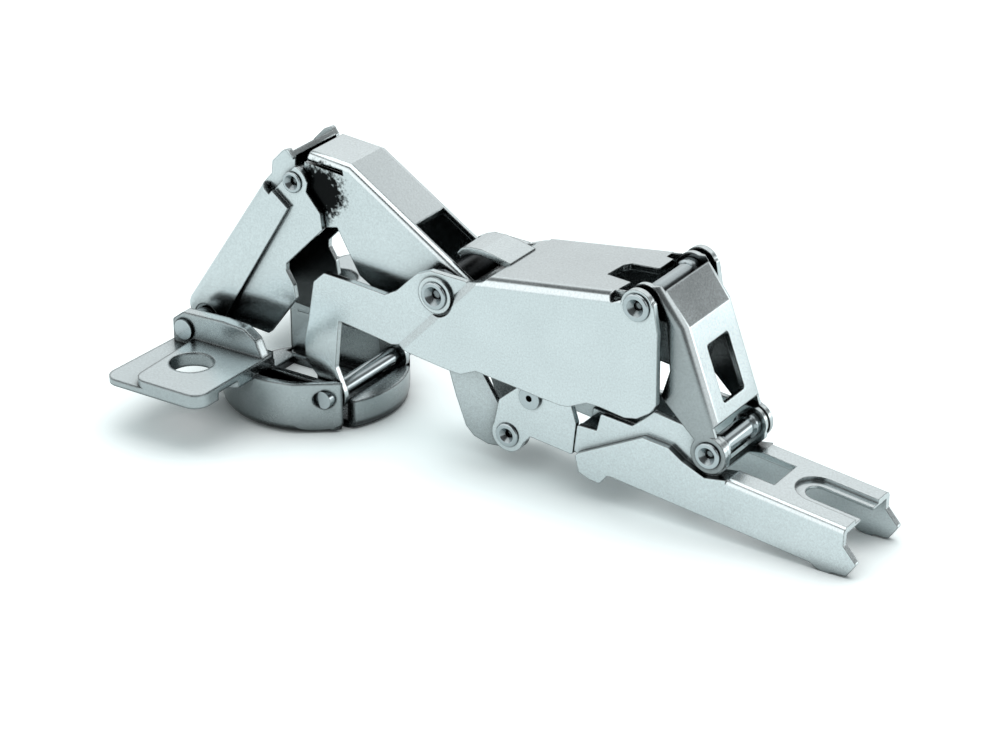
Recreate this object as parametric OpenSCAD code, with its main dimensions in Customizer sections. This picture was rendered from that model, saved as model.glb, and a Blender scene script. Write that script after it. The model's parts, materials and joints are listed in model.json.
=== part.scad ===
// Concealed cup hinge, wide-angle type, half open.
// X runs along the arm, Y along every pin and Z up from the surface it lies on.
// The origin is under the centre of the 35 mm cup. Both sides of Y = 0 are alike.
// Outline points are [x, z] seen from the side, measured from the nearest pivot.

/* [Pivots] */
// Crown pivot, lever to cup link
p_crown = [1.2, 45.2]; // [-60:0.1:60]
// Arm pivot, lever to middle arm
p_arm = [34.3, 32.6]; // [-60:0.1:60]
// Elbow pivot, middle arm to window link
p_elbow = [75.4, 40.9]; // [0:0.1:120]
// Base pivot, window link to base arm
p_base = [88.3, 15.5]; // [0:0.1:120]
// Front pivot, lever to carrier
p_front = [47.2, 7.4]; // [0:0.1:120]
// Cup rod, middle arm to cup
p_rod = [11.1, 6.8]; // [-20:0.1:20]
// Cup pin, cup link to cup
p_cup = [-19.2, 13.9]; // [-30:0.1:0]

/* [Cup] */
// Cup diameter, the size of the drilled hole
cup_d = 35; // [26:1:40]
// Height of the cup's rim
cup_h = 10; // [8:0.1:14]
// Cup wall thickness
cup_wall = 1.4; // [1:0.1:3]
// Cup floor thickness
cup_floor = 1.5; // [1:0.1:3]
// Height of the low wall under the arm
cup_low = 5.8; // [4:0.1:9]
// Depth of the wings' underside below the rim
wing_sink = 0.4; // [0:0.1:1]
// Thickness of the screw pads
pad_t = 2.7; // [2:0.1:4]
// Thickness of the wings beside the pads
wing_t = 1.2; // [1:0.1:2]
// Reach of each wing from the middle
wing_y = 33.5; // [28:0.1:36]
// Spacing of the two wing screws
screw_gap = 45; // [42:0.5:52]
// Offset of the wing screws from the cup's centre
screw_back = 11.3; // [5:0.1:12]
// Wing screw hole diameter
screw_d = 8.2; // [4:0.1:9]

/* [Sheet] */
// Lever half width
lever_w = 5.9; // [5:0.1:8]
// Lever sheet thickness
lever_t = 1.0; // [0.8:0.1:1.5]
// Cup link half width over its bands
cup_link_w = 8.0; // [7:0.1:9]
// Cup link sheet thickness
cup_link_t = 1.0; // [0.8:0.1:1.5]
// Middle arm half width
arm_w = 11.2; // [10:0.1:13]
// Middle arm sheet thickness
arm_t = 1.2; // [0.8:0.1:1.5]
// Inward step of the middle arm's front plates
arm_step = 0.9; // [0.5:0.1:2]
// Window link half width
link_w = 8.4; // [8:0.1:10]
// Window link sheet thickness
link_t = 1.1; // [0.8:0.1:1.5]
// Base arm sheet thickness
base_t = 1.2; // [0.8:0.1:1.5]
// Tilt of the base arm, its far end down
base_tilt = 7; // [0:0.5:15]

/* [Pins] */
// Crown and front pin radius
pin_r = 1.6; // [1:0.1:3]
// Arm pin radius
arm_pin_r = 2.0; // [1:0.1:3]
// Elbow and base pin radius
link_pin_r = 1.8; // [1:0.1:3]
// Cup rod radius
rod_r = 1.7; // [1:0.1:3]
// Radial clearance where a sheet turns on a pin
run_fit = 0.05; // [0.02:0.01:0.1]
// Radial clearance at the opened elbow pivot
open_fit = 0.2; // [0.2:0.05:1]
// Side gap between neighbouring sheets
side_gap = 0.1; // [0.05:0.01:0.3]

/* [Hidden] */
$fn = 48;
nickel = [0.80, 0.84, 0.85];
zinc = [0.48, 0.53, 0.54];
steel = [0.62, 0.65, 0.66];
dark = [0.30, 0.31, 0.32];
far = 90;
cup_r = cup_d / 2;
lever_in = lever_w - lever_t;
ear_in = lever_w + 0.15;
ear_out = ear_in + cup_link_t;
band_in = cup_link_w - cup_link_t;
base_w = link_w;
wing_z = cup_h - wing_sink;
pad_z = wing_z + pad_t;
yoke_out = arm_w - arm_step;
yoke_in = yoke_out - arm_t;
side_in = arm_w - arm_t;
inner_in = lever_w + 0.2;
inner_out = link_w - link_t - side_gap;
link_in = link_w - link_t;
base_in = base_w - base_t;
slot_in = yoke_in - 0.3;
slot_out = yoke_out + 0.4;
cheek_out = slot_out + 1.5;
flat_at = 53.5;
flat_depth = 0.55;
wire_r = 0.4;
coil_pitch = 0.84;
coil_turns = (yoke_in - lever_w - 1.6) / coil_pitch;
bridge_in = cheek_out + 0.1;
bridge_out = bridge_in + 2.2;
tilt_dx = p_front[0] - p_base[0];
tilt_dz = p_front[1] - p_base[1];
front_local = [tilt_dx * cos(base_tilt) - tilt_dz * sin(base_tilt),
    tilt_dx * sin(base_tilt) + tilt_dz * cos(base_tilt)];

// Points given from a pivot, in the frame
function at(p, list) = [for (q = list) p + q];

// Children drawn in the side view, as two plates between y_in and y_out
module plates(y_in, y_out) {
    for (s = [-1, 1])
        translate([0, s * (y_in + y_out) / 2, 0])
            rotate([90, 0, 0])
                linear_extrude(height = y_out - y_in, center = true)
                    children();
}

// Children drawn in the side view, as one block to half width y
module across(y) {
    rotate([90, 0, 0])
        linear_extrude(height = 2 * y, center = true)
            children();
}

// Side view outline with rounded corners
module outline(points, r = 0.6) {
    offset(r = r, $fn = 20)
        offset(delta = -2 * r)
            offset(r = r, $fn = 20)
                polygon(points);
}

// Disc in the side view
module eye(p, r) {
    translate(p)
        circle(r = r);
}

// Block under the line from a to b, less depth, with rounded long edges
module fold(a, b, half_w, r, depth = 0) {
    translate([a[0], 0, a[1]])
        rotate([0, atan2(a[1] - b[1], b[0] - a[0]), 0])
            translate([0, 0, -depth])
            rotate([90, 0, 90])
                linear_extrude(height = 2 * far, center = true) {
                    translate([-half_w, -far])
                        square([2 * half_w, far - r]);
                    translate([-half_w + r, -far])
                        square([2 * (half_w - r), far]);
                    for (s = [-1, 1])
                        translate([s * (half_w - r), -r])
                            circle(r = r);
                }
}

// Block whose half width goes from low to high within run, to the right of the line from a to b
module joggle(a, b, low, high, run) {
    translate([a[0], 0, a[1]])
        rotate([0, atan2(a[1] - b[1], b[0] - a[0]), 0])
            rotate([90, 0, 90])
                linear_extrude(height = 2 * far, center = true)
                    polygon([[-low, far], [low, far], [low, 0], [high, -run], [high, -far],
                        [-high, -far], [-high, -run], [-low, 0]]);
}

// Round bar along Y between two distances, on both sides
module bars(p, r, y_in, y_out) {
    for (s = [-1, 1])
        translate([p[0], s * y_in, p[1]])
            rotate([s > 0 ? -90 : 90, 0, 0])
                cylinder(r = r, h = y_out - y_in);
}

// Round bar along Y through the middle
module bar(p, r, y) {
    translate([p[0], y, p[1]])
        rotate([90, 0, 0])
            cylinder(r = r, h = 2 * y);
}

// Sleeve round a bar
module sleeve(p, r_in, r_out, y) {
    difference() {
        bar(p, r_out, y);
        bar(p, r_in, y + 1);
    }
}

// Rivet head on the plane y = 0, round the Z axis
module rivet_head(head_r, head_t) {
    soft = head_t * 0.7;
    rotate_extrude($fn = 48) {
        square([head_r, head_t - soft]);
        square([head_r - soft, head_t]);
        intersection() {
            translate([head_r - soft, head_t - soft])
                circle(r = soft);
            square([head_r, head_t]);
        }
    }
}

// Riveted pin with rounded heads and hollow ends
module rivet_pin(p, r, y_head, head_r, head_t) {
    difference() {
        union() {
            bar(p, r, y_head + 0.1);
            for (s = [-1, 1])
                translate([p[0], s * y_head, p[1]])
                    rotate([s > 0 ? -90 : 90, 0, 0])
                        rivet_head(head_r, head_t);
        }
        bars(p, r * 0.4, y_head - 0.8, y_head + head_t + 1);
        for (s = [-1, 1])
            translate([p[0], s * (y_head + head_t), p[1]])
                rotate([s > 0 ? 90 : -90, 0, 0])
                    translate([0, 0, -0.1])
                        cylinder(r1 = r * 0.95, r2 = r * 0.35, h = r * 0.6);
    }
}

// Wire wound round Y: turns coils of mean radius r from y0, spaced by pitch
module coil(p, r, wire_r, turns, y0, pitch) {
    steps = 16;
    sides = 6;
    n = ceil(turns * steps);
    ring = [for (i = [0:n]) for (j = [0:sides - 1])
        let (a = i * 360 / steps, b = j * 360 / sides, q = r + wire_r * cos(b))
            [p[0] + q * cos(a), y0 + i * pitch / steps + wire_r * sin(b), p[1] + q * sin(a)]];
    walls = [for (i = [0:n - 1]) for (j = [0:sides - 1])
        let (k = (j + 1) % sides)
            [i * sides + j, (i + 1) * sides + j, (i + 1) * sides + k, i * sides + k]];
    cap0 = [for (j = [0:sides - 1]) j];
    cap1 = [for (j = [sides - 1:-1:0]) n * sides + j];
    polyhedron(points = ring, faces = concat([cap0], walls, [cap1]), convexity = 6);
}

// Round cup shell with a softened bottom edge
module cup_shell() {
    soft = 2.0;
    difference() {
        rotate_extrude($fn = 96)
            difference() {
                union() {
                    translate([0, soft])
                        square([cup_r, cup_h - soft]);
                    square([cup_r - soft, cup_h]);
                    translate([cup_r - soft, soft])
                        circle(r = soft);
                }
                translate([-cup_r, 0])
                    square([cup_r, cup_h]);
            }
        translate([0, 0, cup_floor])
            cylinder(r = cup_r - cup_wall, h = cup_h, $fn = 96);
    }
}

// Everything inside the cup's outer circle
module cup_disc(h) {
    cylinder(r = cup_r - 0.3, h = h, $fn = 96);
}

// One wing on the near side, with its screw pad and bridge wall
module wing() {
    left = -23.4;
    right = -1.2;
    pad_left = -17.0;
    corner = 3.0;
    translate([0, 0, wing_z])
        linear_extrude(height = wing_t)
            offset(r = corner, $fn = 32)
                offset(delta = -corner)
                    polygon([[left, -wing_y], [right, -wing_y], [right, -8.9], [left + 1.0, -8.9]]);
    translate([0, 0, wing_z])
        linear_extrude(height = pad_z - wing_z)
            offset(r = corner, $fn = 32)
                offset(delta = -corner)
                    polygon([[pad_left + 0.6, -wing_y], [right, -wing_y], [right, -bridge_in + corner],
                        [pad_left - 0.4, -bridge_in + corner]]);
    translate([0, -bridge_in, 0])
        rotate([90, 0, 0])
            linear_extrude(height = bridge_out - bridge_in)
                union() {
                    translate([0, wing_z])
                        outline([[left + 1.6, 0], [left + 1.6, 5.8], [left + 3.9, 7.6], [-10.3, 8.0],
                            [-5.4, 7.7], [-2.9, 6.0], [right - 0.2, 2.6], [right - 0.2, 0]], 0.7);
                    translate([-18, wing_z])
                        square([18 + right, pad_t]);
                }
}

module cup() {
    color(zinc)
    difference() {
        union() {
            difference() {
                union() {
                    cup_shell();
                    intersection() {
                        cup_disc(cup_h);
                        for (s = [-1, 1])
                            translate([-cup_r, s * (slot_out + cheek_out) / 2 - 0.75, 0.5])
                                cube([cup_d, 1.5, cup_h - 1]);
                    }
                    intersection() {
                        cup_disc(cup_low);
                        translate([p_rod[0] + rod_r + 0.8, -slot_in, 0.5])
                            cube([10, 2 * slot_in, cup_low]);
                    }
                }
                translate([4.5, -slot_out, cup_low])
                    cube([cup_r, 2 * slot_out, cup_h]);
            }
            wing();
            mirror([0, 1, 0])
                wing();
        }
        for (s = [-1, 1]) {
            translate([-cup_r + 4, s * (slot_in + slot_out) / 2 - (slot_out - slot_in) / 2, -1])
                cube([2 * cup_d, slot_out - slot_in, cup_h + 2]);
            rotate([0, 0, s * flat_at])
                translate([cup_r - flat_depth, -cup_r, -1])
                    cube([cup_r, cup_d, cup_h + 2]);
        }
        translate([-cup_r - 8, -slot_out, cup_floor])
            cube([cup_r + 8, 2 * slot_out, 20]);
        translate([-11, -7.6, -1])
            cube([13, 15.2, cup_h]);
        bar(p_rod, rod_r, 20);
        bar(p_cup, pin_r + 0.4, 20);
        for (s = [-1, 1])
            translate([-screw_back, s * screw_gap / 2, wing_z - 1])
                cylinder(d = screw_d, h = 5);
    }
}

module cup_rod() {
    color(steel)
        bar(p_rod, rod_r, 13.2);
}

module cup_pins() {
    color(steel)
    bars(p_cup, pin_r + 0.4, cup_link_w + 0.4, bridge_out + 0.6);
}

// Cup link: web on the left, banded sides, ears on the crown pin
module cup_link_side() {
    outline(concat(at(p_cup, [[-3.6, 0.9], [-4.6, 4.8]]),
        at(p_crown, [[-8.3, -1.2], [-7.0, 0.6], [-2.4, 5.4], [-0.8, 6.2], [0.3, 4.6],
            [0, 0], [3.4, 1.2], [2.9, -1.3], [5.9, -4.8], [6.3, -7.9]]),
        at(p_cup, [[18.4, 14.8], [18.3, 13.4], [19.9, 10.8], [20.3, 8.2], [13.9, -0.3],
            [5.0, 0.4], [2.2, -1.4], [-1.2, -2.2]])), 0.5);
}

module cup_link() {
    web = p_cup + [-3.3, 4.4];
    bend = p_crown + [-6.5, -1.2];
    top = p_crown + [-0.9, 5.1];
    color(nickel)
    difference() {
        union() {
            difference() {
                intersection() {
                    across(cup_link_w)
                        cup_link_side();
                    fold(web, bend, cup_link_w, 1.7);
                    fold(bend, top, cup_link_w, 1.7);
                }
                intersection() {
                    fold(web, bend, band_in, 0.7, cup_link_t);
                    fold(bend, top, band_in, 0.7, cup_link_t);
                }
                plates(ear_out, far)
                    cup_link_low();
            }
            plates(ear_in, ear_out)
                union() {
                    intersection() {
                        cup_link_side();
                        cup_link_low(1.2);
                    }
                    eye(p_crown, 3.1);
                }
        }
        bar(p_crown, pin_r + run_fit, 20);
        bar(p_cup, pin_r + 1.0, 20);
        plates(6.4, far)
            translate(p_crown + [-3.4, 1.6])
                rotate(-40)
                    square([4, 9], center = true);
    }
}

// Region of the cup link's side that lies at the lower level
module cup_link_low(grow = 0) {
    offset(delta = grow)
        polygon(concat(at(p_crown, [[-4.2, -2.2], [-0.6, -5.0]]), at(p_cup, [[4.8, 1.6], [4.3, -4]]),
            at(p_cup, [[30, -4]]), at(p_crown, [[20, 12], [-2.6, 12]])));
}

module cup_link_bush() {
    color(steel)
        sleeve(p_cup, pin_r + 0.1, pin_r + 1.0, cup_link_w - 0.1);
}

module crown_pin() {
    color(steel)
        rivet_pin(p_crown, pin_r, ear_out + side_gap, 2.0, 0.4);
}

// Lever: crown lobe, bent web with an open notch, and a long foot on the front pin
module lever_side() {
    union() {
        outline(concat(at(p_crown, [[1.6, 2.4], [2.6, 7.0], [12.0, 6.2]]),
            at(p_arm, [[-0.4, 5.6], [3.4, 3.8], [5.2, 0.4], [4.6, -4.6], [6.7, -15.2]]),
            at(p_front, [[-1.6, 3.1], [2.6, 2.0], [2.8, -1.8], [0, -3.3], [-5.0, -3.8], [-8.0, -3.0],
                [-9.7, -1.4], [-11.8, 4.0], [-13.2, 8.5], [-17.6, 15.0]]),
            at(p_arm, [[-13.1, -6.5], [-19.6, -2.8], [-24.3, 5.4], [-27.4, 4.7]]),
            at(p_crown, [[1.2, -2.6], [-1.6, -2.4], [-2.9, 0]])), 0.5);
        eye(p_crown, 2.9);
        eye(p_front, 3.3);
        eye(p_arm, 5.0);
    }
}

module upper_lever() {
    top = p_crown + [2.4, 5.95];
    bend = p_crown + [11.4, 5.2];
    foot = p_arm + [-1.0, 4.7];
    color(nickel)
    difference() {
        intersection() {
            across(lever_w)
                lever_side();
            fold(top, bend, lever_w, 1.5);
            fold(bend, foot, lever_w, 1.3);
        }
        intersection() {
            fold(top, bend, lever_in, 0.6, lever_t);
            fold(bend, foot, lever_in, 0.5, lever_t);
        }
        plates(lever_in - 0.3, far)
            polygon(at(p_crown, [[-3, 5.0], [10.2, 4.1], [10.4, 3.1], [0, 4.1], [-3, 4.1]]));
        across(lever_in + 1.2)
            polygon(at(p_crown, [[-6, 5.0], [0.2, 4.4], [2.6, 4.4], [2.8, 6.6], [-6, 8]]));
        translate([p_arm[0] - 8.3, -4.4, p_arm[1]])
            cube([20, 8.8, 20]);
        bar(p_crown, pin_r, 20);
        bar(p_arm, arm_pin_r + run_fit, 20);
        bar(p_front, pin_r + run_fit, 20);
    }
}

module front_pin() {
    color(steel)
        rivet_pin(p_front, pin_r, inner_out, 2.3, 0.5);
}

module front_bush() {
    color(dark)
        sleeve(p_front, pin_r, pin_r + 0.7, lever_in - side_gap);
}

// Main side plate of the middle arm
module arm_main() {
    outline(concat([p_arm + [12.6, 7.2]], at(p_elbow, [[-5.4, 2.8], [-2.2, 3.2], [1.8, 2.9], [3.2, 1.0],
        [4.1, -4.0], [4.2, -17.3], [3.0, -19.0], [0.5, -20.7], [-2.0, -21.2], [-7.0, -20.5],
        [-9.6, -20.5], [-13.2, -22.2], [-14.7, -22.4], [-19.2, -22.0]]),
        at(p_arm, [[16.3, -13.0], [8.8, -12.2], [5.5, -13.7], [2.8, -13.5], [-5.4, -12.4],
            [-8.8, -11.6], [6.6, 4.0], [10.0, 5.0]])), 0.6);
}

// Front plate of the middle arm, down to its eye on the cup rod
module arm_yoke() {
    union() {
        outline(concat(at(p_arm, [[-26.6, -4.1], [-24.3, -1.9], [-18.2, -2.2], [-11.0, -2.8],
            [-8.5, -1.4], [-4.2, 2.9], [-1.3, 4.2], [6.4, 4.0], [7.4, 4.2], [-7.7, -11.7],
            [-9.8, -12.2], [-12.2, -11.8], [-20.4, -10.6], [-21.3, -10.7]]),
            at(p_rod, [[0.9, 5.6], [2.9, 0.9], [0, -2.8], [-2.9, 0.6], [-3.2, 3.2], [-5.6, 5.4],
                [-5.9, 9.2], [-5.0, 12.9]])), 0.5);
        eye(p_rod, 3.0);
    }
}

// Slanted step between the arm's two levels
module arm_joggle(low, high) {
    joggle(p_arm + [-7.5, -10.9], p_arm + [7.66, 5.0], low, high, 1.5);
}

// Open end of the arm's web, seen from above
module arm_web_cut() {
    translate([p_elbow[0], 0, p_elbow[1] - 4])
        linear_extrude(height = 12)
            outline([[-10.6, -3.2], [-10.2, 1.6], [-9.2, 2.6], [-3.6, 1.8], [-2.9, 2.1], [-3.2, 6.4],
                [-5.0, 7.2], [-5.0, 9.0], [12, 9.0], [12, -9.0], [-5.0, -9.0], [-4.6, -5.4]], 0.4);
}

module middle_arm() {
    web = p_arm + [9.8, 5.85];
    end = p_elbow + [-5.4, 1.15];
    color(nickel)
    difference() {
        union() {
            difference() {
                intersection() {
                    across(arm_w)
                        arm_main();
                    fold(web, end, arm_w, 2.0);
                    arm_joggle(yoke_out, arm_w);
                }
                intersection() {
                    fold(web, end, side_in, 0.8, arm_t);
                    arm_joggle(yoke_in, side_in);
                }
                across(far)
                    eye(p_arm, 4.0);
                arm_web_cut();
                for (s = [-1, 1])
                    translate([0, s * (arm_w - 0.9), 0])
                        across(0.9)
                            outline(at(p_elbow, [[-5.6, 0.6], [-4.9, 1.7], [-2.9, 2.6], [2, 6], [6, 6],
                                [6, 1.6], [-2.2, 0.9], [-5.1, -0.5]]), 0.3);
                translate([p_elbow[0] - 3.2, -side_in, p_elbow[1] - 4])
                    cube([20, 2 * side_in, 12]);
            }
            intersection() {
                across(arm_w)
                    union() {
                        arm_main();
                        eye(p_elbow, 3.1);
                    }
                plates(side_in, arm_w)
                    translate(p_elbow)
                        circle(r = 3.1);
            }
            plates(yoke_in, yoke_out)
                union() {
                    arm_yoke();
                    eye(p_arm, 4.0);
                }
            arm_tongue();
        }
        bar(p_arm, arm_pin_r, 20);
        bar(p_rod, rod_r + run_fit, 20);
        bar(p_elbow, link_pin_r + open_fit, 20);
    }
}

// Narrow tongue that arches over the springs
module arm_tongue() {
    across(4.0)
        polygon(at(p_arm, [[11.4, 6.3], [8.4, 7.0], [5.4, 7.5], [2.9, 7.4], [1.1, 6.8], [0.2, 5.8],
            [1.0, 5.0], [1.9, 5.7], [3.2, 6.2], [5.4, 6.3], [8.2, 5.8], [11.4, 5.1]]));
}

module arm_pin() {
    color(steel)
        rivet_pin(p_arm, arm_pin_r, yoke_out + 0.6, 2.6, 0.5);
}

module arm_washers() {
    color(nickel)
    difference() {
        bars(p_arm, 3.4, yoke_out, yoke_out + 0.6);
        bar(p_arm, arm_pin_r, 20);
    }
}

module spring_near() {
    color(dark)
        coil(p_arm, 3.4, wire_r, coil_turns, -yoke_in + 0.5, coil_pitch);
}

module spring_far() {
    color(dark)
        mirror([0, 1, 0])
            coil(p_arm, 3.4, wire_r, coil_turns, -yoke_in + 0.5, coil_pitch);
}

module spring_sleeve() {
    color(dark)
        sleeve(p_arm, arm_pin_r, 3.2, 4.2);
}

// Window link: ears on the elbow and base pins, web bent once near its top
module link_side() {
    outline(concat(at(p_elbow, [[-0.4, 2.6], [3.4, 3.2], [5.4, 1.4], [9.0, -3.2]]),
        at(p_base, [[1.9, 6.6], [0.5, 5.0], [1.6, 2.0], [0, -1.2], [-2.2, 1.7], [-9.6, 8.8],
            [-9.1, 9.4], [-7.8, 13.7], [-8.6, 22.4]]),
        at(p_elbow, [[-0.6, -2.1], [-2.2, -0.6], [-1.7, 1.7]])), 0.5);
}

module window_link() {
    top = p_elbow + [3.2, 2.4];
    bend = p_elbow + [7.8, -3.5];
    foot = p_base + [0.7, 6.4];
    web_tilt = atan2(bend[1] - foot[1], foot[0] - bend[0]);
    color(nickel)
    difference() {
        union() {
            intersection() {
                across(link_w)
                    link_side();
                fold(top, bend, link_w, 1.6);
                fold(bend, foot, link_w, 1.8);
            }
            plates(link_in, link_w) {
                eye(p_elbow, 3.1);
                eye(p_base, 3.4);
            }
        }
        intersection() {
            fold(top, bend, link_in, 0.5, link_t);
            fold(bend, foot, link_in, 0.7, link_t);
        }
        across(link_in)
            polygon(concat(at(p_elbow, [[-8, 8], [3.2, 8], [3.2, 0], [-8, -8]])));
        across(link_in)
            polygon(at(p_base, [[-8, 4.9], [8, 4.9], [8, -8], [-8, -8]]));
        translate([p_base[0] - 1.7, 0, p_base[1] + 12.8])
            rotate([0, web_tilt, 0])
                linear_extrude(height = 8, center = true)
                    offset(r = 0.6, $fn = 24)
                        square([9.4, 6.0], center = true);
        bar(p_elbow, link_pin_r, 20);
        bar(p_base, link_pin_r + run_fit, 20);
    }
}

module elbow_pin() {
    color(steel)
        rivet_pin(p_elbow, link_pin_r, arm_w + side_gap, 2.5, 0.5);
}

module elbow_bush() {
    color(steel)
        sleeve(p_elbow, link_pin_r, link_pin_r + 0.5, link_in - side_gap);
}

// The base arm is drawn flat, from the base pivot, and then tilted into place
module base_place() {
    translate([p_base[0], 0, p_base[1]])
        rotate([0, base_tilt, 0])
            children();
}

module base_outer() {
    outline([[-25.3, -10.6], [-24.1, -13.6], [-21.6, -14.2], [-19.7, -14.1], [-18.5, -12.1],
        [-17.7, -11.9], [21.9, -11.9], [22.6, -12.4], [25.2, -12.8], [25.9, -12.1], [28.6, -11.7],
        [30.0, -8.9], [27.1, -6.3], [26.7, -2.4], [4.3, -2.4], [4.2, -3.3], [0, -4.5], [-4.6, -3.2],
        [-7.6, -1.7], [-12.7, -1.8], [-24.6, -9.9]], 0.4);
}

module base_inner() {
    union() {
        outline([[-26.2, -10.6], [-26.2, -5.4], [-22.3, -4.9], [-21.9, -1.4], [-15.6, -1.2],
            [-13.2, 1.4], [-11.8, 3.2], [-6.6, 3.0], [-0.4, 3.2], [3.0, 0.6], [3.2, -2.0],
            [1.2, -4.8], [-4.8, -4.4], [-7.4, -3.0], [-12.4, -3.2], [-24.4, -11.4]], 0.4);
        eye([0, 0], 3.2);
    }
}

// Band along the step between the base arm's two levels
module base_joggle() {
    intersection() {
        base_outer();
        difference() {
            polygon([[-25.4, -10.7], [-12.9, -1.8], [-7.5, -1.6], [-4.4, -3.2], [4, -3], [4, -4.8],
                [-4.8, -4.6], [-7.6, -3.1], [-12.5, -3.3], [-24.9, -12.2]]);
            eye([0, 0], 3.8);
        }
    }
}

module base_arm() {
    web = -3.2;
    slot = 17.6;
    color(nickel)
    base_place()
    difference() {
        union() {
            difference() {
                intersection() {
                    across(base_w)
                        base_outer();
                    fold([0, web], [10, web], base_w, 1.2);
                }
                fold([0, web], [10, web], base_in, 0.4, base_t);
                plates(inner_out, far)
                    eye([0, 0], 3.8);
            }
            difference() {
                intersection() {
                    plates(base_in, base_w)
                        difference() {
                            base_outer();
                            translate([-5, -20])
                                square([60, 40]);
                            eye([0, 0], 3.8);
                        }
                }
            }
            plates(inner_in, inner_out)
                base_inner();
            plates(inner_in, base_w)
                base_joggle();
        }
        across(inner_in)
            polygon([[-30, 10], [-1.0, 10], [-1.0, -8], [-30, -8]]);
        translate([1.6, -4.0, -8])
            cube([9.4, 8.0, 6]);
        translate([slot, -2.3, -8])
            cube([20, 4.6, 12]);
        translate([slot, 0, -8])
            cylinder(r = 2.3, h = 12);
        translate([slot, -4.2, web - 0.7])
            cube([20, 8.4, 4]);
        translate([slot, 0, web - 0.7])
            cylinder(r = 4.2, h = 4);
        translate([26, -base_in, -20])
            cube([10, 2 * base_in, web - base_t + 20]);
        bar([0, 0], link_pin_r, 20);
    }
}

module base_pin() {
    color(steel)
        rivet_pin(p_base, link_pin_r, link_w + side_gap, 2.4, 0.45);
}

module base_bush() {
    color(steel)
        sleeve(p_base, link_pin_r, link_pin_r + 0.6, inner_in);
}

// Carrier: front plates from the front pin back into the base arm
module carrier_side() {
    union() {
        outline(concat([[-26.4, -11.6], [-35.2, -11.6]], at(front_local, [[1.8, -2.8], [-2.2, -2.4],
            [-3.1, 0.6], [-2.6, 6.2], [0.6, 9.8], [2.6, 13.2]]), [[-28.6, 0.4], [-28.1, -1.8],
            [-26.5, -5.3]]), 0.4);
        eye(front_local, 3.3);
    }
}

module front_carrier() {
    tail = [[-30, -11.6], [-16, -11.6], [-16, -8.8], [-30, -8.8]];
    color(nickel)
    base_place()
    difference() {
        union() {
            plates(inner_in, inner_out)
                carrier_side();
            plates(inner_in - 1.1, inner_in)
                polygon(tail);
            plates(inner_in - 1.1, inner_out)
                polygon([[-30, -11.4], [-26.6, -11.4], [-26.6, -8.8], [-30, -8.8]]);
            across(inner_in)
                polygon([[-30, -11.6], [-16, -11.6], [-16, -10.6], [-30, -10.6]]);
        }
        bar(front_local, pin_r, 20);
        bar([-36.1, -3.9], 1.2, 20);
    }
}

module carrier_rivets() {
    color(steel)
    base_place()
    difference() {
        union() {
            bars([-36.1, -3.9], 1.2, inner_in, inner_out + 0.3);
            bars([-36.1, -3.9], 2.1, inner_out, inner_out + 0.6);
        }
        bars([-36.1, -3.9], 0.6, inner_out - 0.2, inner_out + 2);
    }
}

cup();
cup_rod();
cup_pins();
cup_link();
cup_link_bush();
crown_pin();
upper_lever();
front_pin();
front_bush();
middle_arm();
arm_pin();
arm_washers();
spring_near();
spring_far();
spring_sleeve();
window_link();
elbow_pin();
elbow_bush();
base_arm();
base_pin();
base_bush();
front_carrier();
carrier_rivets();
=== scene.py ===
# %% [markdown]
# # A concealed cup hinge, dressed for the camera
# The hinge is sheet steel with a bright nickel plate, riveted to a die cast cup. Its
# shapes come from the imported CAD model. This script adds what a render needs: clean
# shading, plated finishes with a fine grain and softened edges, two turned bushes, a
# pale table, and a studio for the metal to mirror.

# %% Load the frame
import json
import math

import bmesh
import bpy
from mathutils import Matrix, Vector


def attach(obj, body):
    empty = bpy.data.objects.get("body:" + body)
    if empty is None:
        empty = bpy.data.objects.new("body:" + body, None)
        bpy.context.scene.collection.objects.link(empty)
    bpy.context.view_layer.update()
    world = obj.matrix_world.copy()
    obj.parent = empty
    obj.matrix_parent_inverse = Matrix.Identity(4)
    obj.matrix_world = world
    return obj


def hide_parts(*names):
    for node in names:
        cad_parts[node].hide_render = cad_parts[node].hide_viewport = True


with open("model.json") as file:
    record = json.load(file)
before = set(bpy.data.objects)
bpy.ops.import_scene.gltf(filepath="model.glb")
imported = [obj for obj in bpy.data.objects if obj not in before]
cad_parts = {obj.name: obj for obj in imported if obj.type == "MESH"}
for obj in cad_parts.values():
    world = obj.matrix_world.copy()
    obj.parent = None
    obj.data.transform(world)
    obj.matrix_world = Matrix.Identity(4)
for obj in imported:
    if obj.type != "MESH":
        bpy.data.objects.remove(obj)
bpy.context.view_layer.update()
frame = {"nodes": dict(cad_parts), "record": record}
nodes = frame["nodes"]
mm = 0.001
print("pieces in the frame:", len(nodes))

# %% [markdown]
# ## Writing shaders as sums
# A plated surface is mostly arithmetic: grain times strength, one minus a mask. One small
# class wraps a socket, so that such a line can be written as it is thought. Every other
# node comes from its `node` method, which sets the node's own settings first.

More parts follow.
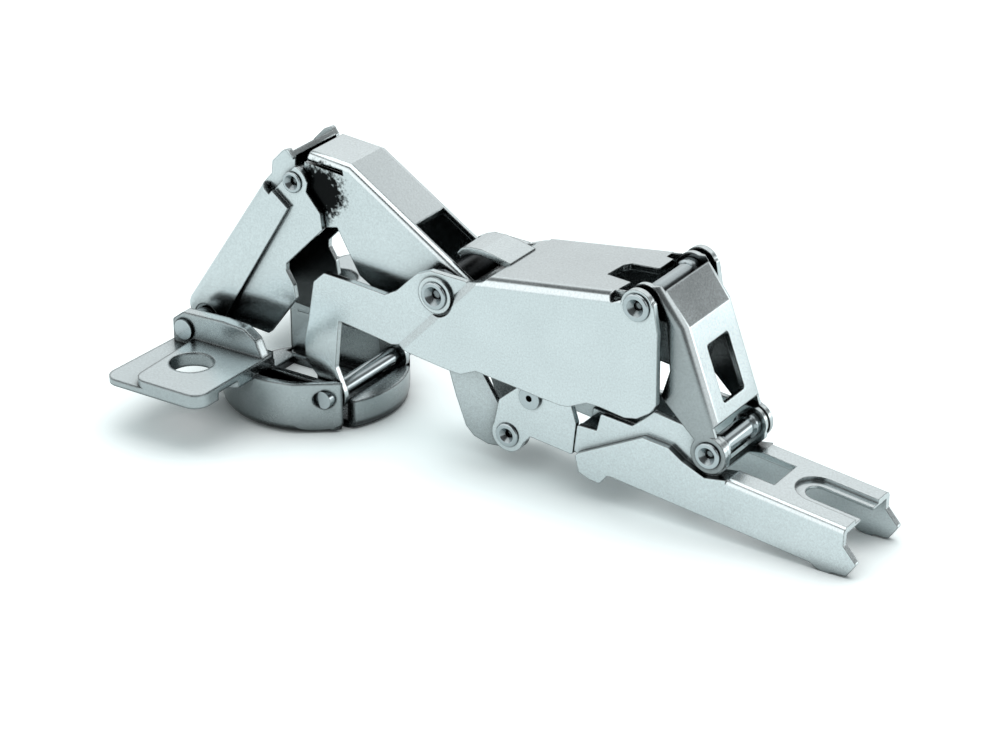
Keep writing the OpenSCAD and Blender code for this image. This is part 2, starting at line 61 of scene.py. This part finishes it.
# %% A wire with arithmetic
class Wire:
    """A socket of a node tree that can be added, taken away and multiplied."""

    def __init__(self, tree, socket=None):
        self.tree = tree
        self.socket = socket

    def node(self, kind, settings=None, inputs=None, out=0):
        """Add a node: its own settings first, then its sockets' values or wires."""
        made = self.tree.nodes.new(kind)
        for key, value in (settings or {}).items():
            if key == "stops":
                ramp = made.color_ramp
                ramp.elements[0].position, ramp.elements[0].color = value[0]
                ramp.elements[1].position, ramp.elements[1].color = value[-1]
                for place, colour in value[1:-1]:
                    ramp.elements.new(place).color = colour
            else:
                setattr(made, key, value)
        for key, value in (inputs or {}).items():
            if isinstance(value, Wire):
                self.tree.links.new(value.socket, made.inputs[key])
            else:
                made.inputs[key].default_value = value
        return Wire(self.tree, made.outputs[out])

    def _maths(self, operation, *values):
        return self.node("ShaderNodeMath", {"operation": operation}, dict(enumerate(values)))

    def __add__(self, other):
        return self._maths("ADD", self, other)

    def __sub__(self, other):
        return self._maths("SUBTRACT", self, other)

    def __rsub__(self, other):
        return self._maths("SUBTRACT", other, self)

    def __mul__(self, other):
        return self._maths("MULTIPLY", self, other)

    def __abs__(self):
        return self._maths("ABSOLUTE", self)

    __radd__ = __add__
    __rmul__ = __mul__

    def clamped(self, low=0.0, high=1.0):
        """This value, held between low and high."""
        held = self._maths("MAXIMUM", self, low)
        return self._maths("MINIMUM", held, high)

    def vector(self, operation, *values, out="Vector"):
        """A sum on vectors, which a Math node would turn into one number."""
        return self.node(
            "ShaderNodeVectorMath", {"operation": operation}, dict(enumerate(values)), out)

    def ramp(self, value, start, end, low, high):
        """A smooth step of a value: low before start, high past end."""
        return self.node(
            "ShaderNodeMapRange", {"interpolation_type": "SMOOTHSTEP"},
            {"Value": value, "From Min": start, "From Max": end, "To Min": low, "To Max": high},
            out="Result")

    def shade(self, reach_mm, closed, clear, dark):
        """Painted shade by how open a place is within reach_mm: dark where closed in, 1 where
        clear.
        """
        seen = self.node("ShaderNodeAmbientOcclusion", {"samples": 6},
                         {"Distance": reach_mm * mm}, out="AO")
        return self.ramp(seen, closed, clear, dark, 1.0)

    def noise(self, place, size_mm, detail, roughness=0.5):
        """A cloudy value about 0.5, with clouds of about size_mm."""
        return self.node(
            "ShaderNodeTexNoise", None,
            {"Vector": place, "Scale": 1 / (size_mm * mm), "Detail": detail,
             "Roughness": roughness}, out="Fac")


# %% [markdown]
# ## Painted shade
# A dark patch on the lever's near side, dark in the middle and speckled at its border, is
# painted by its place: a painted shadow and dark reflection of the cup link beside it. Some
# faces mirror something dark, so their colour is darkened by the way they face: a painted
# dark reflection. A dark object in the studio would have spoilt the other plates that face
# the same way.

# %% A painted shade patch and painted dark faces
# Speckle size and reach, border, core and tone of the painted shade patch.
SPECK_MM, SPECK_REACH = 0.7, 0.9
PAINTED_SHADE_BORDER, PAINTED_SHADE_CORE, PAINTED_SHADE_TONE = 1.05, 0.62, 0.012


def painted_shade_patch(wire, place, spot, reach):
    """Painted shade: nearly black inside the ellipsoid at spot, clear outside, with a speckled
    border.
    """
    away = wire.vector("DIVIDE", wire.vector("SUBTRACT", place, spot), reach)
    far_off = wire.vector("LENGTH", away, out="Value")
    specks = (wire.noise(place, SPECK_MM, 1.0) - 0.5) * SPECK_REACH
    return wire.ramp(far_off + specks, PAINTED_SHADE_BORDER, PAINTED_SHADE_CORE, 1.0, PAINTED_SHADE_TONE)


def painted_dark_facing(wire, axis, start, end, tone):
    """Painted dark reflection: the tone where the normal's share along an axis is at start, 1
    where it is at end.
    """
    own_normal = wire.node("ShaderNodeTexCoord", out="Normal")
    share = abs(wire.node("ShaderNodeSeparateXYZ", None, {0: own_normal}, out=axis))
    return wire.ramp(share, start, end, tone, 1.0)


# %% [markdown]
# ## The plated finish
# Nickel plate over tumbled steel keeps a fine grain: light spreads a little, and the
# surface looks sandy close up. It could be a flat metal with a high roughness, but then
# folds lose their crisp dark lines. So the roughness stays low and a very fine bump
# carries the grain, with a broad noise that varies both a little, as barrel plating does.
# Stamped edges are rounded by a few tenths of a millimetre. A Bevel node bends the normal
# there, and where it is bent most, the colour is darker: a painted dark reflection, the thin
# line along each fold. Folded plates also mirror each other in the dark gaps between them.
# That dark is painted shade: Ambient Occlusion finds those places, once for deep hollows and
# once for narrow gaps, and darkens the colour there.

# %% A plated metal
CLOUD_MM = 9
DEEP_CLOSED = 0.24
GAP_REACH_MM, GAP_CLOSED = 3.5, 0.35
TURN_FLAT, TURN_EDGE = 0.99, 0.80
BUMP_MM = 0.02


def plated(name, colour, roughness, grain=0.28, cloud=0.07, grain_mm=0.34, hollow_shade=0.02,
           reach_mm=26, clear=0.80, round_mm=0.35, open_at=0.93, gap_shade=0.30, edge_dark=0.68,
           shade_patch=None, dark_facing=None):
    """A metal with a fine grain, soft clouds, rounded edges, and painted shade in its nooks and
    along its edges.

    Painted shade: a hollow within reach_mm is darkened to the hollow tone, up to 1 where its
    openness is clear, and a narrow gap to the gap tone, up to 1 at open_at. The last two
    arguments place the painted shade patch and the painted dark faces above.
    """
    material = bpy.data.materials.new(name)
    material.use_nodes = True
    tree = material.node_tree
    shader = tree.nodes["Principled BSDF"]
    wire = Wire(tree)

    place = wire.node("ShaderNodeTexCoord", out="Object")
    fine = wire.noise(place, grain_mm, 2.0, 0.6) - 0.5
    broad = wire.noise(place, CLOUD_MM, 3.0) - 0.5

    rounded = wire.node("ShaderNodeBevel", {"samples": 6}, {"Radius": round_mm * mm},
                        out="Normal")
    flat = wire.node("ShaderNodeNewGeometry", out="Normal")
    turn = wire.vector("DOT_PRODUCT", rounded, flat, out="Value")
    # Painted dark reflection: the colour is darkened where the Bevel node bends the normal
    # most.
    edge = wire.ramp(turn, TURN_FLAT, TURN_EDGE, 0.0, edge_dark)

    # Painted shade: darker in deep hollows and narrow gaps, found by Ambient Occlusion.
    painted_shade = (wire.shade(reach_mm, DEEP_CLOSED, clear, hollow_shade)
           * wire.shade(GAP_REACH_MM, GAP_CLOSED, open_at, gap_shade))
    # The painted shade patch and the painted dark faces darken the colour further.
    if shade_patch:
        painted_shade = painted_shade * painted_shade_patch(wire, place, *shade_patch)
    if dark_facing:
        painted_shade = painted_shade * painted_dark_facing(wire, *dark_facing)
    mottle = (1 + broad * (2 * cloud) + fine * (6 * cloud)).clamped(0.0, 1.2)
    tone = painted_shade * (1 - edge) * mottle

    tinted = wire.node("ShaderNodeVectorMath", {"operation": "SCALE"},
                       {"Vector": colour, "Scale": tone})
    spread = (roughness + broad * (roughness * 0.5) + fine * (roughness * 0.4)).clamped()
    bump = wire.node(
        "ShaderNodeBump", None,
        {"Strength": grain, "Distance": BUMP_MM * mm, "Height": fine + 0.5,
         "Normal": rounded}, out="Normal")
    tree.links.new(tinted.socket, shader.inputs["Base Color"])
    tree.links.new(spread.socket, shader.inputs["Roughness"])
    tree.links.new(bump.socket, shader.inputs["Normal"])
    shader.inputs["Metallic"].default_value = 1.0
    return material


# %% [markdown]
# ## The finishes
# Bright nickel covers all the folded sheets. The base and its carrier lie close to the
# table, where a long reach of the painted shade would find the table itself, so theirs is
# short. The windowed link stands between other plates and mirrors them on its sides, so
# their colour is darkened there by the way they face: a painted dark reflection. The cup is
# cast, with softer edges and a slightly greyer plate, and its upright wall gets the same
# painted dark reflection. Pins are turned and smoother. Springs are dark.

# %% Mix the finishes
NICKEL = (0.69, 0.765, 0.778)

nickel = plated("bright nickel plate", NICKEL, 0.20)
# Painted shade with a short reach, since these lie near the table.
base_nickel = plated("nickel plate near the table", NICKEL, 0.21, hollow_shade=0.16, reach_mm=5)
# The lever's near side gets a painted shadow and dark reflection of the cup link.
lever_nickel = plated(
    "nickel plate with painted shade", NICKEL, 0.20,
    shade_patch=((0.0066, -0.0059, 0.0443), (0.0056, 0.0012, 0.0060)))
# Its side plates get a painted dark reflection by the way they face.
link_nickel = plated(
    "nickel plate between the plates", NICKEL, 0.20, clear=1.0, dark_facing=("Y", 0.9, 0.5, 0.58))
# The cup's upright wall gets a painted dark reflection by the way it faces.
zinc = plated(
    "plated die casting", (0.63, 0.71, 0.725), 0.25, grain=0.3, reach_mm=14, round_mm=0.8,
    edge_dark=0.8, dark_facing=("Z", 0.2, 0.7, 0.70))
steel = plated(
    "turned steel", (0.50, 0.57, 0.59), 0.18, grain=0.06, cloud=0.03, hollow_shade=0.15, reach_mm=8,
    round_mm=0.15, open_at=1.0, gap_shade=0.06)
spring_steel = plated("dark spring steel", (0.16, 0.18, 0.19), 0.32, grain=0.12, round_mm=0.1)
print("finishes:", sorted(material.name for material in bpy.data.materials))

# %% [markdown]
# ## Which piece gets which finish
# The record already groups the pieces by material slot, so the finishes follow it. Four
# sheets have a nickel of their own.

# %% Dress the CAD nodes
finish_of_slot = {"nickel": nickel, "zinc": zinc, "steel": steel, "spring": spring_steel}
own_finish = {"base_arm": base_nickel, "front_carrier": base_nickel,
              "upper_lever": lever_nickel, "window_link": link_nickel}
slot_of_node = {s["node"]: s["material_slot"] for s in frame["record"]["subparts"]}
for name, piece in nodes.items():
    piece.data.materials.clear()
    piece.data.materials.append(own_finish.get(name, finish_of_slot[slot_of_node[name]]))
print("dressed:", {s: sum(v == s for v in slot_of_node.values()) for s in finish_of_slot})

# %% [markdown]
# ## Clean shading
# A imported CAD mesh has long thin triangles, which shade in streaks if they are simply
# smoothed. Each piece is welded, split where its faces meet sharply, and its normals are
# weighted by face area. A bevel modifier was tried for the rounded edges, and it either
# did nothing or grew spikes on the finely cut arcs, so the finish rounds them instead.

# %% Shade the stamped pieces
SHARP = math.radians(30)

for piece in nodes.values():
    weld = piece.modifiers.new("weld", "WELD")
    weld.merge_threshold = 0.002 * mm
    split = piece.modifiers.new("crisp edges", "EDGE_SPLIT")
    split.split_angle = SHARP
    split.use_edge_sharp = False
    even = piece.modifiers.new("even normals", "WEIGHTED_NORMAL")
    even.keep_sharp = True
print("clean shading on", len(nodes), "pieces")

# %% [markdown]
# ## Bushes with a waist
# Between the ears of the windowed link, a turned bush keeps each pin in the middle. The
# real ones are relieved between two collars. A half section of a few points, spun once
# round the pin, gives the whole bush. The CAD model keeps its plain sleeves for contact.

# %% Turn the bushes
BASE_PIN, ELBOW_PIN = (88.3, 15.5), (75.4, 40.9)
PIN_R, WAIST_R = 1.8, 1.88
COLLAR_WIDTH, TAPER, CHAMFER = 1.5, 0.3, 0.12


def turned_bush(name, body, stands_for, centre, half, collar):
    """A bush along Y, from -half to half, with a collar at each end (millimetres)."""
    near_end = [(-half, PIN_R), (-half, collar - CHAMFER), (-half + CHAMFER, collar),
                (-half + COLLAR_WIDTH, collar), (-half + COLLAR_WIDTH + TAPER, WAIST_R)]
    section = near_end + [(-y, r) for y, r in reversed(near_end)]
    shape = bmesh.new()
    ring = [shape.verts.new(((centre[0] + r) * mm, y * mm, centre[1] * mm)) for y, r in section]
    rim = [shape.edges.new((a, b)) for a, b in zip(ring, ring[1:] + ring[:1])]
    bmesh.ops.spin(
        shape, geom=ring + rim, cent=(centre[0] * mm, 0, centre[1] * mm), axis=(0, 1, 0),
        angle=2 * math.pi, steps=56, use_merge=True)
    bmesh.ops.recalc_face_normals(shape, faces=shape.faces)
    for face in shape.faces:
        face.smooth = True
    data = bpy.data.meshes.new(name)
    shape.to_mesh(data)
    shape.free()
    piece = bpy.data.objects.new(name, data)
    bpy.context.scene.collection.objects.link(piece)
    data.materials.append(steel)
    split = piece.modifiers.new("crisp edges", "EDGE_SPLIT")
    split.split_angle = SHARP
    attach(piece, body)
    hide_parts(stands_for)
    return piece


lower_bush = turned_bush("waisted_base_bush", "base", "base_bush", BASE_PIN, 6.1, 2.4)
upper_bush = turned_bush("waisted_elbow_bush", "link", "elbow_bush", ELBOW_PIN, 7.2, 2.3)
print("bush faces:", len(lower_bush.data.polygons), len(upper_bush.data.polygons))

# %% [markdown]
# ## The table
# The hinge stands on white all round, with a soft grey shadow under it. The table is a
# pale disc, wide enough to have no border in the picture. To the camera and in reflections
# it glows a little, so that it is white in the open and no more light has to fall on the
# metal. Where the hinge stands close, Ambient Occlusion dims that glow: a painted shadow,
# added to the lamp's own.

# %% Lay the table
TABLE_RADIUS, PAINTED_SHADOW_REACH = 3.0, 0.017
GLOW_TO_CAMERA, GLOW_TO_METAL = 0.72, 0.34

table_mesh = bmesh.new()
bmesh.ops.create_circle(table_mesh, cap_ends=True, segments=96, radius=TABLE_RADIUS)
table_data = bpy.data.meshes.new("table")
table_mesh.to_mesh(table_data)
table_mesh.free()
table = bpy.data.objects.new("table", table_data)
bpy.context.scene.collection.objects.link(table)

pale = bpy.data.materials.new("pale table")
pale.use_nodes = True
pale_shader = pale.node_tree.nodes["Principled BSDF"]
pale_shader.inputs["Base Color"].default_value = (0.93, 0.905, 0.90, 1)
pale_shader.inputs["Roughness"].default_value = 0.9
pale_shader.inputs["Specular IOR Level"].default_value = 0.0
pale_shader.inputs["Emission Color"].default_value = (0.86, 1.0, 1.01, 1)
floor_wire = Wire(pale.node_tree)
seen = floor_wire.node("ShaderNodeLightPath", out="Is Camera Ray")
mirrored = floor_wire.node("ShaderNodeLightPath", out="Is Glossy Ray")
# Painted shadow: the glow fades where the hinge stands close.
painted_shadow_openness = floor_wire.node(
    "ShaderNodeAmbientOcclusion", {"samples": 8}, {"Distance": PAINTED_SHADOW_REACH}, out="AO")
glow = (seen * (GLOW_TO_CAMERA * painted_shadow_openness) + mirrored * GLOW_TO_METAL) * painted_shadow_openness
pale.node_tree.links.new(glow.socket, pale_shader.inputs["Emission Strength"])
table_data.materials.append(pale)
print("table radius in m:", TABLE_RADIUS)

# %% [markdown]
# ## The studio
# Metal is mostly what it mirrors. The world is white to the camera. In reflections it is
# bright near the horizon and dark high up, which draws dark folds. Four soft round patches
# lie where the photograph's studio seems to have had a lamp or a dark gap: a lamp for the
# windowed link's web, a gap for the bend above it, a dark one where the camera stands, and
# a light one to the left of it.

# %% The world
def grey(value):
    return (value, value, value, 1)


HEIGHTS = [(0.0, 0.80), (0.29, 0.80), (0.44, 0.95), (0.52, 1.0), (0.64, 0.96), (0.73, 0.12),
           (0.90, 0.12), (1.0, 0.6)]
PATCHES = [((0.66, 0.75, 0.0), 13, 22, 2.3), ((0.56, 0.75, 0.42), 7, 16, 0.2),
           ((0.49, -0.75, 0.44), 18, 40, 0.15), ((-0.49, -0.80, 0.35), 33, 39, 1.32)]
DIFFUSE_SKY = (0.33, 0.37, 0.375, 1)

world = bpy.data.worlds.new("studio")
bpy.context.scene.world = world
world.use_nodes = True
sky = Wire(world.node_tree)
direction = sky.node("ShaderNodeTexCoord", out="Generated")
height = sky.node("ShaderNodeSeparateXYZ", None, {0: direction}, out="Z")


def mixed(factor, first, second):
    """The first colour at 0 and the second at 1."""
    return sky.node("ShaderNodeMix", {"data_type": "RGBA"},
                    {"Factor": factor, 6: first, 7: second}, out=2)


def patch(under, aim, core, rim, value):
    """Lay a round soft patch of light or dark over the sky, by its angles in degrees."""
    near = sky.vector("DOT_PRODUCT", direction, Vector(aim).normalized(), out="Value")
    mask = sky.ramp(near, math.cos(math.radians(rim)), math.cos(math.radians(core)), 0.0, 1.0)
    return mixed(mask, under, grey(value))


studio = sky.node("ShaderNodeValToRGB", {"stops": [(z, grey(v)) for z, v in HEIGHTS]},
                  {"Fac": height}, out="Color")
for aim, core, rim, value in PATCHES:
    studio = patch(studio, aim, core, rim, value)
is_camera = sky.node("ShaderNodeLightPath", out="Is Camera Ray")
is_glossy = sky.node("ShaderNodeLightPath", out="Is Glossy Ray")
backdrop = mixed(is_camera, mixed(is_glossy, DIFFUSE_SKY, studio), grey(1.0))
background = world.node_tree.nodes["Background"]
world.node_tree.links.new(backdrop.socket, background.inputs["Color"])
background.inputs["Strength"].default_value = 1.0
print("patches in the studio:", len(PATCHES))

# %% [markdown]
# ## The lamp
# The soft shadow comes from one wide lamp nearly overhead. A lamp low at the back was
# tried, and it burnt out the webs, which mirror that side of the room.

# %% The top lamp
def soft_box(name, place, aim, size, power):
    """A rectangular area lamp that looks at a point."""
    lamp = bpy.data.lights.new(name, "AREA")
    lamp.shape = "RECTANGLE"
    lamp.size, lamp.size_y = size
    lamp.energy = power
    made = bpy.data.objects.new(name, lamp)
    made.location = place
    made.rotation_mode = "QUATERNION"
    made.rotation_quaternion = (Vector(aim) - Vector(place)).to_track_quat("-Z", "Y")
    bpy.context.scene.collection.objects.link(made)
    return made


top_box = soft_box("top box", (0.08, 0.12, 0.85), (0.047, 0.0, 0.02), (0.9, 0.8), 3.2)
print("lamp power in W:", round(top_box.data.energy, 2))

# %% [markdown]
# ## The camera
# The photograph was taken from the front right and above with a long lens. Its place was
# worked out from the round cup and the parallel pins, and is written here in millimetres.

# %% Camera
EYE_MM = (311.05, -413.81, 256.61)
AZIMUTH, ELEVATION = math.radians(33.137), math.radians(26.101)
FOCAL_PX, PICTURE_PX, SENSOR_MM = 3081.07, 1000, 36

look = Vector((-math.sin(AZIMUTH) * math.cos(ELEVATION),
               math.cos(AZIMUTH) * math.cos(ELEVATION), -math.sin(ELEVATION)))
camera_data = bpy.data.cameras.new("camera")
camera_data.sensor_width = SENSOR_MM
camera_data.lens = FOCAL_PX / PICTURE_PX * SENSOR_MM
camera_data.clip_start, camera_data.clip_end = 0.01, 20
camera = bpy.data.objects.new("camera", camera_data)
camera.location = Vector(EYE_MM) * mm
camera.rotation_mode = "QUATERNION"
camera.rotation_quaternion = look.to_track_quat("-Z", "Y")
bpy.context.scene.collection.objects.link(camera)
bpy.context.scene.camera = camera
print("lens in mm:", round(camera_data.lens, 1))

# %% [markdown]
# ## Look settings
# Plain sRGB with no film curve keeps the written colours.

# %% Finish
bpy.context.scene.view_settings.view_transform = "Standard"
